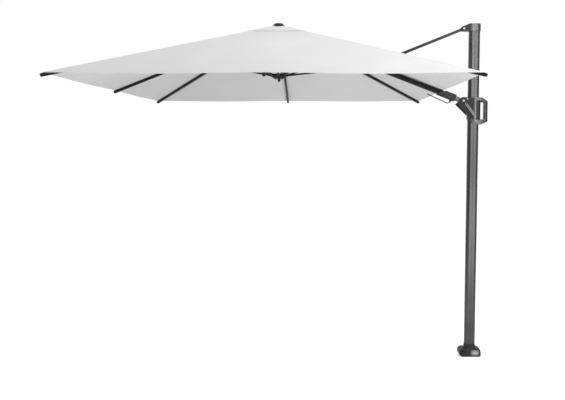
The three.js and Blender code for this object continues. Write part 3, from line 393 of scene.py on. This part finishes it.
def soft_shading(angle):
    group = bpy.data.node_groups.new("soft_shading", "GeometryNodeTree")
    group.interface.new_socket("Geometry", in_out="INPUT", socket_type="NodeSocketGeometry")
    group.interface.new_socket("Geometry", in_out="OUTPUT", socket_type="NodeSocketGeometry")
    entry = group.nodes.new("NodeGroupInput")
    exit_node = group.nodes.new("NodeGroupOutput")
    edge = group.nodes.new("GeometryNodeInputMeshEdgeAngle")
    sharp = group.nodes.new("FunctionNodeCompare")
    sharp.inputs[1].default_value = angle
    normal = group.nodes.new("GeometryNodeSetMeshNormal")
    normal.mode = "SHARPNESS"
    normal.inputs["Remove Custom"].default_value = True
    group.links.new(entry.outputs[0], normal.inputs["Mesh"])
    group.links.new(edge.outputs["Unsigned Angle"], sharp.inputs[0])
    group.links.new(sharp.outputs[0], normal.inputs["Edge Sharpness"])
    group.links.new(normal.outputs[0], exit_node.inputs[0])
    return group


shading = soft_shading(math.radians(SMOOTH_UNDER))


def round_edges(piece, width):
    piece.modifiers.new("weld", "WELD").merge_threshold = WELD_GAP
    if width:
        bevel = piece.modifiers.new("bevel", "BEVEL")
        bevel.width = width
        bevel.segments = BEVEL_STEPS
        bevel.limit_method = "ANGLE"
        bevel.angle_limit = math.radians(BEVEL_OVER)
    piece.modifiers.new("smooth", "NODES").node_group = shading
    piece.modifiers.new("weighted", "WEIGHTED_NORMAL").keep_sharp = True


print("soft shading keeps edges over", SMOOTH_UNDER, "degrees")

# %% [markdown]
# ## Who wears what
# Each piece of the construction gets its finish by name, with the width of its rounded edges. The material
# goes on the object's own slot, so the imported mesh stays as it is.

# %% Dress the construction
ribs = [f"rib_{i}" for i in range(1, 8)]
rib_tips = [f"rib_tip_{i}" for i in range(1, 8)]
stretchers = [f"stretcher_{i}" for i in range(1, 9)]
finishes = [
    (frame_coat, 0.0009, ribs + stretchers + ["arm_tube", "arm_tail_housing", "tilt_lever"]),
    (hub_coat, 0.0012, ["foot_collar", "crown_hub", "runner_hub", "arm_head", "arm_collar",
                        "arm_bracket", "strut_lower_fork", "mast_shoe", "front_cheek", "back_cheek"]),
    (mast_coat, 0.0008, ["mast_tube"]),
    (sleeve_coat, 0.0012, ["mast_top_bracket", "carriage_sleeve", "carriage_handle"]),
    (strut_coat, 0.0009, ["strut_tube", "strut_upper_end"]),
    (lever_coat, 0.001, ["release_lever", "arm_knuckle"]),
    (steel, 0.0005, ["strut_upper_bolt", "arm_pivot_bolt", "cheek_bolt", "arm_head_pin", "foot_plate"]),
    (plastic, 0.0009, rib_tips + ["mast_cap", "swivel_lock_knob", "crown_cap", "runner_knob", "foot_bushing",
                                  "carriage_liner", "arm_bush"]),
]
dressed = set()
for material, width, names in finishes:
    for name in names:
        for slot in nodes[name].material_slots:
            slot.link = "OBJECT"
            slot.material = material
        round_edges(nodes[name], width)
        dressed.add(name)
print("dressed", len(dressed), "pieces; cloth to come:", sorted(set(nodes) - dressed))

# %% [markdown]
# ## Cast and moulded pieces
# The foot, the mast's head, the arm's housing, the finial and the grip are cast or moulded, and no edge on
# them is crisp: each flows into the next over a few millimetres. A bevel can't follow edges that meet at odd
# angles, so the solid is copied, rebuilt as an even grid of small faces, and relaxed until its edges are
# soft. The copy then stands for the solid, and rides on the same body.

# %% Soften the cast pieces
def moulded_copy(node, name, grain, passes, material):
    """grain is the size of the grid's faces in metres, and passes is how often the grid is relaxed."""
    draft = placed("draft", nodes[node].data.copy())
    draft.modifiers.new("weld", "WELD").merge_threshold = WELD_GAP
    grid = draft.modifiers.new("grid", "REMESH")
    grid.mode, grid.voxel_size, grid.use_smooth_shade = "VOXEL", grain, True
    relax = draft.modifiers.new("relax", "SMOOTH")
    relax.factor, relax.iterations = 0.5, passes
    depsgraph = bpy.context.evaluated_depsgraph_get()
    mesh = bpy.data.meshes.new_from_object(draft.evaluated_get(depsgraph))
    bpy.data.objects.remove(draft)
    mesh.name = name
    mesh.materials.clear()
    mesh.materials.append(material)
    piece = placed(name, mesh)
    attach(piece, body_of(nodes[node])[0])
    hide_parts(node)
    return piece


castings = [
    moulded_copy("foot_collar", "foot_casting", 0.0026, 8, foot_coat),
    moulded_copy("mast_top_bracket", "mast_head_casting", 0.002, 5, head_coat),
    moulded_copy("carriage_handle", "grip_moulding", 0.002, 7, grip_coat),
    moulded_copy("arm_tail_housing", "tail_housing_casting", 0.002, 4, frame_coat),
    moulded_copy("crown_cap", "finial", 0.002, 4, plastic),
]
print("castings:", {piece.name: len(piece.data.polygons) for piece in castings})

# %% [markdown]
# ## The mast's profile
# The mast is an extruded tube with two flat faces, wide round corners and a shallow groove down the middle
# of each flat face. A scaled cylinder would bulge where the real one is flat, and the lamp's reflection
# would slide round it. Here the section is drawn point by point, with close steps round the corners, and
# swept up.

# %% Draw the mast
MAST_WALL = 0.003
MAST_CORNER = 0.025
CORNER_STEPS = 12
MAST_LENGTHS = 6
GROOVE_DEEP = 0.0011
GROOVE_TOP = 0.003
GROOVE_FLOOR = 0.0018


def tube_outline(half_x, half_y, corner, groove):
    """Round the section from +X, with the groove in the middle of both long faces."""
    points = []
    for quarter, (side_x, side_y) in enumerate(((1, 1), (-1, 1), (-1, -1), (1, -1))):
        for i in range(CORNER_STEPS + 1):
            turn = math.pi / 2 * (quarter + i / CORNER_STEPS)
            points.append((side_x * (half_x - corner) + corner * math.cos(turn),
                           side_y * (half_y - corner) + corner * math.sin(turn)))
        if quarter % 2 == 0:
            across = [(GROOVE_TOP, 0), (GROOVE_FLOOR, groove), (-GROOVE_FLOOR, groove), (-GROOVE_TOP, 0)]
            points += [(side_x * x, side_y * (half_y - deep)) for x, deep in across]
    return points


def swept_tube(name, outer, inner, heights):
    """The wall between two outlines of as many points, with a ring of faces closing each end."""
    mesh = bpy.data.meshes.new(name)
    count = len(outer)
    points = [(x, y, z) for outline in (outer, inner) for z in heights for x, y in outline]
    faces = []
    start = count * len(heights)
    for level in range(len(heights) - 1):
        for i in range(count):
            a, b = level * count + i, level * count + (i + 1) % count
            faces.append((a, b, b + count, a + count))
            faces.append((start + a, start + a + count, start + b + count, start + b))
    top = (len(heights) - 1) * count
    for i in range(count):
        k = (i + 1) % count
        faces += [(i, start + i, start + k, k), (top + i, top + k, start + top + k, start + top + i)]
    mesh.from_pydata(points, [], faces)
    return placed(name, mesh)


mast_low, mast_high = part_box("mast_tube")
half_x, half_y = mast_high.x, mast_high.y
outer_outline = tube_outline(half_x, half_y, MAST_CORNER, GROOVE_DEEP)
inner_outline = tube_outline(half_x - MAST_WALL, half_y - MAST_WALL, MAST_CORNER - MAST_WALL, 0.0)
levels = [mast_low.z + (mast_high.z - mast_low.z) * i / MAST_LENGTHS for i in range(MAST_LENGTHS + 1)]
mast_profile = swept_tube("mast_profile", outer_outline, inner_outline, levels)
mast_profile.data.materials.append(mast_coat)
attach(mast_profile, "mast")
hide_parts("mast_tube")
round_edges(mast_profile, 0)
print("mast section", round(2 * half_x, 4), "by", round(2 * half_y, 4), "m")

# %% [markdown]
# ## The canopy cloth
# The canopy is woven polyester, pale grey and matt. A weave is two sets of threads that pass over and under
# each other. Two sine waves across the cloth's own coordinates, swapped by the sign of their product, give
# that pattern at its real pitch, and it stays put when the cloth folds. Stitches are short dashes in two
# rows along the hem and two along the ridge seams. A second set of coordinates holds the distance from each
# seam, so one rule draws them all.

# %% Make the cloth
THREAD = 0.0009
STITCH = 0.0042
STITCHED_SHARE = 0.62
HEM_STITCHES = (0.006, 0.03)
RIDGE_STITCHES = (0.004, 0.011)
HEM_ROW_HALF, RIDGE_ROW_HALF = 0.0007, 0.0006
SLUBS_PER_METRE = (7.0, 260.0, 260.0)
CLOUDS_PER_METRE = 1.7
WEAVE_HEIGHT = 0.0004


def stitch_rows(distance, places, half_width):
    first, second = [(abs(distance - place) < half_width) * 1.0 for place in places]
    return first + second


def canopy_cloth():
    shader = Shader("canopy_fabric")
    across, along, _ = shader.parts(shader.node("ShaderNodeUVMap", {"uv_map": "cloth"}))
    ridge, hem, _ = shader.parts(shader.node("ShaderNodeUVMap", {"uv_map": "seams"}))
    place = shader.place()
    warp = (across * (math.pi / THREAD)).sine()
    weft = (along * (math.pi / THREAD)).sine()
    over = (warp * weft > 0) * 1.0
    thread = over * abs(warp) + (1 - over) * abs(weft)
    slub = shader.noise(shader.scaled(place, SLUBS_PER_METRE), 1.0)
    cloud = shader.noise(place, CLOUDS_PER_METRE, 3.0)
    dash = (across * (1 / STITCH)).fraction() < STITCHED_SHARE
    dash_up = (along * (1 / STITCH)).fraction() < STITCHED_SHARE
    hem_rows = stitch_rows(hem, HEM_STITCHES, HEM_ROW_HALF)
    ridge_rows = stitch_rows(ridge, RIDGE_STITCHES, RIDGE_ROW_HALF)
    stitches = hem_rows * dash + ridge_rows * dash_up
    base = shader.mix_colour(cloud.step(0.3, 0.7), (0.72, 0.722, 0.728), (0.76, 0.76, 0.764))
    base = shader.mix_colour(thread * 0.1 + slub * 0.06, base, (0.62, 0.622, 0.63))
    base = shader.mix_colour(stitches * 0.5, base, (0.5, 0.5, 0.51))
    height = thread * 0.5 + slub * 0.2 - stitches * 0.8
    normal = shader.bump(height, 0.25, WEAVE_HEIGHT)
    shader.set(Base_Color=base, Roughness=0.86 - slub * 0.06, Specular_IOR_Level=0.25, Normal=normal)
    shader.set(Sheen_Weight=0.12, Sheen_Roughness=0.5)
    return shader.material


cloth = canopy_cloth()
print("threads every", THREAD * 1000, "mm, stitches every", STITCH * 1000, "mm")

# %% [markdown]
# ## How taut cloth lies on a pyramid of ribs
# The ribs, and on one side the arm, hold the cloth straight at the corners and at the middle of each side.
# Between two ribs it hangs in a trough, about a centimetre deep at the hem, and the hem is drawn in by
# nearly as much. Both are smooth functions of where a point lies between its ribs, so neighbouring pieces
# agree at their edge and the canopy reads as one continuous sheet. The vent cap is a smaller roof of the
# same kind, whose hem settles almost onto the canopy. The canopy has a slit over the arm, where the strut
# comes through.

# %% Write the canopy's shape
SAG, SAG_GROWTH = 0.011, 1.3
BOW, BOW_GROWTH = 0.009, 5
DROOP_GROWTH = 1.5
VENT_BOW = 0.004
VENT_GAP = 0.0026
CLOTH_THICK = 0.0012
HEM_WIDE, VENT_HEM_WIDE = 0.036, 0.018
SEAM_WIDE, VENT_SEAM_WIDE = 0.015, 0.011
# The fold halfway between two ribs lies 22.5 degrees off the middle of its side.
SECTOR = math.tan(math.radians(22.5))


def smooth(value, low, high):
    share = min(max((value - low) / (high - low), 0.0), 1.0)
    return share * share * (3 - 2 * share)


class Roof:
    """A square pyramid of cloth on the crown's axis. out is a point's distance from that axis, square to its
    side of the roof, and side is how far it lies along that side from the middle."""

    def __init__(self, half, hole, slope, apex, sag, bow, hem_wide, seam_wide, hem_drop=0.0):
        self.half, self.hole, self.slope, self.apex = half, hole, slope, apex
        self.sag, self.bow, self.hem_drop = sag, bow, hem_drop
        self.hem_wide, self.seam_wide = hem_wide, seam_wide
        self.stretch = math.hypot(1, slope)
        self.ridge_cos = self.stretch / math.hypot(1, self.stretch)

    def between_ribs(self, out, side):
        return math.sin(math.pi * min(abs(side) / out, 1.0)) ** 2

    def reach(self, out):
        return max((out - self.hole) / (self.half - self.hole), 0)

    def drop(self, out, side):
        return self.sag * (out / self.half) ** SAG_GROWTH * self.between_ribs(out, side)

    def drawn(self, out, side):
        return out - self.bow * self.reach(out) ** BOW_GROWTH * self.between_ribs(out, side)

    def droop(self, out):
        return self.hem_drop * self.reach(out) ** DROOP_GROWTH

    def seams(self, out, side, slit):
        """How far a point is from its ridge, and from the nearest hem, the slit's included."""
        to_ridge = (out - abs(side)) * self.ridge_cos
        to_hem = (self.half - out) * self.stretch
        if slit:
            to_slit = max(slit[0] - out, out - slit[1], 0) * self.stretch
            to_hem = min(to_hem, math.hypot(to_slit, max(abs(side) - slit[2], 0)))
        return to_ridge, to_hem


main_roof = Roof(half_side, hole_half, slope, apex_z, SAG, BOW, HEM_WIDE, SEAM_WIDE)
vent_lift = (vent_apex_z - vent_slope * vent_half) - (apex_z - slope * vent_half)
vent_roof = Roof(vent_half, vent_inner, vent_slope, vent_apex_z, 0.0, VENT_BOW,
                 VENT_HEM_WIDE, VENT_SEAM_WIDE, vent_lift - VENT_GAP)
print("vent hem stands", round(vent_lift * 1000, 1), "mm over the canopy before it settles")
# On the mast's side of the crown, only the slit's corners lie this far beside the arm's middle.
SLIT_NEAR, SLIT_FAR = 0.03, 0.07
slit_points = [p for p in node_points("canopy") if p.x > crown_x and SLIT_NEAR < abs(p.y) < SLIT_FAR]
slit = (min(p.x for p in slit_points) - crown_x, max(p.x for p in slit_points) - crown_x,
        max(p.y for p in slit_points))
print("slit from", round(slit[0], 3), "to", round(slit[1], 3), "half width", round(slit[2], 4))

# %% [markdown]
# ## Cutting the cloth where it folds
# When the parasol closes, the cloth gathers along each rib. One rigid sheet couldn't do that, so the canopy
# is cut where the folds form: halfway between neighbouring ribs, and along the four ridges. Each piece
# goes with its rib. Open, the pieces meet edge to edge and nothing shows but the sewn ridges.
#
# Each piece is a grid of quads, top and underside, joined by a rim. Rows crowd together at the hem, where
# the fold of the hem is, and columns crowd at the ridge, where the seam is.

# %% Build one piece of cloth
ROW_PITCH = 0.055
COLUMNS, ARM_COLUMNS = 14, 16
HEM_RAISED, RIDGE_RAISED = 0.0009, 0.0008
RAISED_EDGE = 0.0015
ROUNDED_EDGE = 0.0022
EDGE_THIN = 0.25
EDGE_ROWS = (0.0, 0.0008, ROUNDED_EDGE)
HEM_SHARES = (0.2, 0.6, 0.9, 1.0)
PAST_HEM = (RAISED_EDGE, 0.006, 0.03)
SLIT_INSIDE, SLIT_BEYOND = 0.0005, 0.004
ROUNDING = 0.0001
# Sideways from the ridge, in seam widths: about where the seam starts, and where its edge has run out.
SEAM_START, SEAM_PAST = 1.4, 1.55
NEAR_RIDGE = 0.004


def facet_axes(azimuth, slope):
    """Outward, sideways and up from one side of the roof."""
    turn = math.radians(azimuth)
    outward = Vector((math.cos(turn), math.sin(turn), 0))
    sideways = Vector((-math.sin(turn), math.cos(turn), 0))
    return outward, sideways, (outward * slope + Vector((0, 0, 1))).normalized()


def cloth_rows(roof, slit):
    """How far out each row of points lies: crowded at the hem and at the slit's ends, even elsewhere."""
    hem = roof.hem_wide / roof.stretch
    near_hem = [*EDGE_ROWS, *(hem * share for share in HEM_SHARES), *(hem + past for past in PAST_HEM)]
    rows = [roof.half - distance for distance in near_hem]
    count = max(int((rows[-1] - roof.hole) / ROW_PITCH), 4)
    rows += [rows[-1] + (roof.hole - rows[-1]) * i / count for i in range(1, count + 1)]
    if slit:
        for edge, way in ((slit[0], -1), (slit[1], 1)):
            beyond = (0, -SLIT_INSIDE, hem, hem + RAISED_EDGE, SLIT_BEYOND)
            rows += [edge + way * distance for distance in beyond]
    return sorted(set(round(r, 5) for r in rows), reverse=True)


def cloth_columns(roof, kind, out, slit):
    """How far sideways each point of a row lies."""
    fold = out * SECTOR
    if kind == "middle":
        return [fold * (i / COLUMNS - 1) for i in range(2 * COLUMNS + 1)]
    if kind == "arm":
        inside = slit and slit[0] - ROUNDING < out < slit[1] + ROUNDING
        start = slit[2] if inside else 0.0
        return [start + (fold - start) * i / ARM_COLUMNS for i in range(ARM_COLUMNS + 1)]
    field_end = out - roof.seam_wide * SEAM_PAST
    field = [fold + (field_end - fold) * i / COLUMNS for i in range(COLUMNS + 1)]
    return field + [out - roof.seam_wide * SEAM_START, out - NEAR_RIDGE, out]


def cloth_point(roof, facet, out, side, slit):
    """The top and the underside of the cloth at one point, and its two sets of coordinates."""
    outward, sideways, normal = facet
    inward = roof.drawn(out, side)
    place = Vector((crown_x, 0, roof.apex)) + outward * inward + sideways * side
    place.z -= roof.slope * inward + roof.drop(out, side) + roof.droop(out)
    to_ridge, to_hem = roof.seams(out, side, slit)
    at_hem = HEM_RAISED * (1 - smooth(to_hem, roof.hem_wide, roof.hem_wide + RAISED_EDGE))
    at_ridge = RIDGE_RAISED * (1 - smooth(to_ridge, roof.seam_wide, roof.seam_wide + RAISED_EDGE))
    raised = max(at_hem, at_ridge)
    rounded = EDGE_THIN + (1 - EDGE_THIN) * math.sqrt(min(max(roof.half - out, 0) / ROUNDED_EDGE, 1))
    middle = (raised - CLOTH_THICK) / 2
    thick = (raised + CLOTH_THICK) / 2 * rounded
    coordinates = (side, (roof.half - out) * roof.stretch), (to_ridge, to_hem)
    return place + normal * (middle + thick), place + normal * (middle - thick), coordinates


def cloth_piece(name, roof, azimuth, kind, hand=1, slit=None):
    """kind is middle, corner (from the fold to the ridge) or arm (beside the arm, with half the slit)."""
    facet = facet_axes(azimuth, roof.slope)
    rows = [[cloth_point(roof, facet, out, side * hand, slit)
             for side in cloth_columns(roof, kind, out, slit)] for out in cloth_rows(roof, slit)]
    high, wide = len(rows), len(rows[0])
    over, beneath, coordinates = zip(*(point for row in rows for point in row))
    points, maps = over + beneath, coordinates * 2
    under = high * wide
    faces = []
    for r in range(high - 1):
        for c in range(wide - 1):
            a, b = r * wide + c, r * wide + c + 1
            d, e = b + wide, a + wide
            faces += [(a, b, d, e), (under + a, under + e, under + d, under + b)]
    rim = list(range(wide)) + [r * wide + wide - 1 for r in range(1, high)]
    rim += [(high - 1) * wide + c for c in range(wide - 2, -1, -1)]
    rim += [r * wide for r in range(high - 2, 0, -1)]
    faces += [(a, under + a, under + b, b) for a, b in zip(rim, rim[1:] + rim[:1])]
    if hand < 0:
        faces = [f[::-1] for f in faces]
    mesh = bpy.data.meshes.new(name)
    mesh.from_pydata(points, [], faces)
    for layer_name, which in (("cloth", 0), ("seams", 1)):
        layer = mesh.uv_layers.new(name=layer_name)
        for loop in mesh.loops:
            layer.data[loop.index].uv = maps[loop.vertex_index][which]
    mesh.materials.append(cloth)
    piece = placed(name, mesh)
    piece.modifiers.new("smooth", "NODES").node_group = shading
    return piece


print("rows on the canopy:", len(cloth_rows(main_roof, None)),
      "with the slit:", len(cloth_rows(main_roof, slit)))

# %% [markdown]
# ## Hanging the cloth on the ribs
# Each piece rides on its rib: a piece in the middle of a side on that side's rib, a piece beside a ridge on
# the rib at that ridge, and the two pieces beside the arm on the arm. The cloth takes the place of the
# construction's canopy and vent cap.

# %% Lay the canopy and the vent cap
middle_ribs = {90: "rib_2", 180: "rib_4", 270: "rib_6"}
corner_ribs = {45: "rib_1", 135: "rib_3", 225: "rib_5", 315: "rib_7"}


def hang(piece, roof, azimuth, kind, hand, node):
    outward, sideways, normal = facet_axes(azimuth, roof.slope)
    apex = Vector((crown_x, 0, roof.apex))
    if kind == "corner":
        ridge = (outward + sideways * hand - Vector((0, 0, roof.slope))).normalized()
        axis, body = normal.cross(ridge), corner_ribs[(azimuth + 45 * hand) % 360]
    elif kind == "middle":
        axis, body = sideways, middle_ribs[azimuth]
    else:
        axis, body = sideways, "arm"
        apex += sideways * hand * slit[2]
    wide = {"middle": 2 * SECTOR, "arm": SECTOR, "corner": 1 - SECTOR}[kind] * roof.half
    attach(piece, body)
    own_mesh(piece)
    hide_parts(node)
    (roof.half - roof.hole) * roof.stretch


hand_names = {-1: "_left", 1: "_right"}
for label, roof, node, gap in (("canopy", main_roof, "canopy", slit), ("vent", vent_roof, "vent_cap", None)):
    for azimuth in (0, 90, 180, 270):
        between = [("middle", 1)] if azimuth else [("arm", -1), ("arm", 1)]
        for kind, hand in [("corner", -1), ("corner", 1)] + between:
            name = f"{label}_{kind}_{azimuth}" + ("" if kind == "middle" else hand_names[hand])
            piece = cloth_piece(name, roof, azimuth, kind, hand, gap if kind == "arm" else None)
            hang(piece, roof, azimuth, kind, hand, node)

# %% [markdown]
# ## Studio
# The photo is a cut-out on white. A pale floor and a pale world give that: rays from the camera, and rays
# that mirrors and glass send out, see them as white, while every other ray gets the plain studio level.
# The floor still takes the parasol's shadow. The mast's flat face mirrors two lamps that stand in front and
# to the right, a tall one for the upper part and a low, weaker one for the rest, which is why the face fades
# towards the foot. A high lamp shades the roof from left to right, and a wide one near the floor fills the
# underside.

# %% Light the studio
AMBIENT = 0.62
FLOOR_GLOW = 0.5
FLOOR_HALF = 30.0
FLOOR_GAP = 0.0008
CLOUDING_PER_METRE = 0.6


def seen_directly(shader):
    path = shader.nodes.new("ShaderNodeLightPath")
    seen = Wire(shader, path.outputs["Is Camera Ray"])
    for name in ("Is Glossy Ray", "Is Transmission Ray"):
        seen = seen.math("MAXIMUM", Wire(shader, path.outputs[name]))
    return seen


class WorldShader(Shader):
    def __init__(self):
        world = bpy.data.worlds.new("studio")
        world.use_nodes = True
        bpy.context.scene.world = world
        self.nodes, self.links = world.node_tree.nodes, world.node_tree.links
        self.surface = self.nodes["Background"]


studio = WorldShader()
studio.set(Color=(1, 1, 1), Strength=seen_directly(studio) * (1 - AMBIENT) + AMBIENT)

floor_shader = Shader("studio_floor")
clouding = floor_shader.noise(floor_shader.place(), CLOUDING_PER_METRE)
floor_grey = floor_shader.mix_colour(clouding, (0.86, 0.86, 0.86), (0.9, 0.9, 0.9))
floor_shader.set(Base_Color=floor_grey, Roughness=0.9)
floor_shader.set(Emission_Color=(1, 1, 1), Emission_Strength=seen_directly(floor_shader) * FLOOR_GLOW)
floor_mesh = bpy.data.meshes.new("floor")
corners = [(FLOOR_HALF * x, FLOOR_HALF * y, 0) for x, y in ((-1, -1), (1, -1), (1, 1), (-1, 1))]
floor_mesh.from_pydata(corners, [], [(0, 1, 2, 3)])
floor_mesh.materials.append(floor_shader.material)
floor = placed("floor", floor_mesh)
floor.location = (0, 0, -FLOOR_GAP)


def lamp(name, place, target, wide, high, power, spread=180):
    """power is in watts, and spread is the angle of the beam in degrees."""
    data = bpy.data.lights.new(name, "AREA")
    data.shape = "RECTANGLE"
    data.spread = math.radians(spread)
    data.size, data.size_y, data.energy = wide, high, power
    light = placed(name, data)
    light.location = place
    light.rotation_euler = (Vector(target) - Vector(place)).to_track_quat("-Z", "Y").to_euler()


lamp("tall_lamp", (1.45, -6.0, 3.15), (0, 0, 2.6), 1.3, 3.1, 20.8, spread=60)
lamp("low_lamp", (0.84, -3.5, 0.72), (0, 0, 0.9), 0.8, 1.35, 5.2, spread=60)
lamp("side_lamp", (0.6, -2.7, 7.0), (-1.2, 0, 2.8), 3.0, 3.0, 122)
lamp("bounce_lamp", (-1.3, -2.7, 0.25), (-1.3, 0.6, 2.6), 3.2, 1.4, 36)
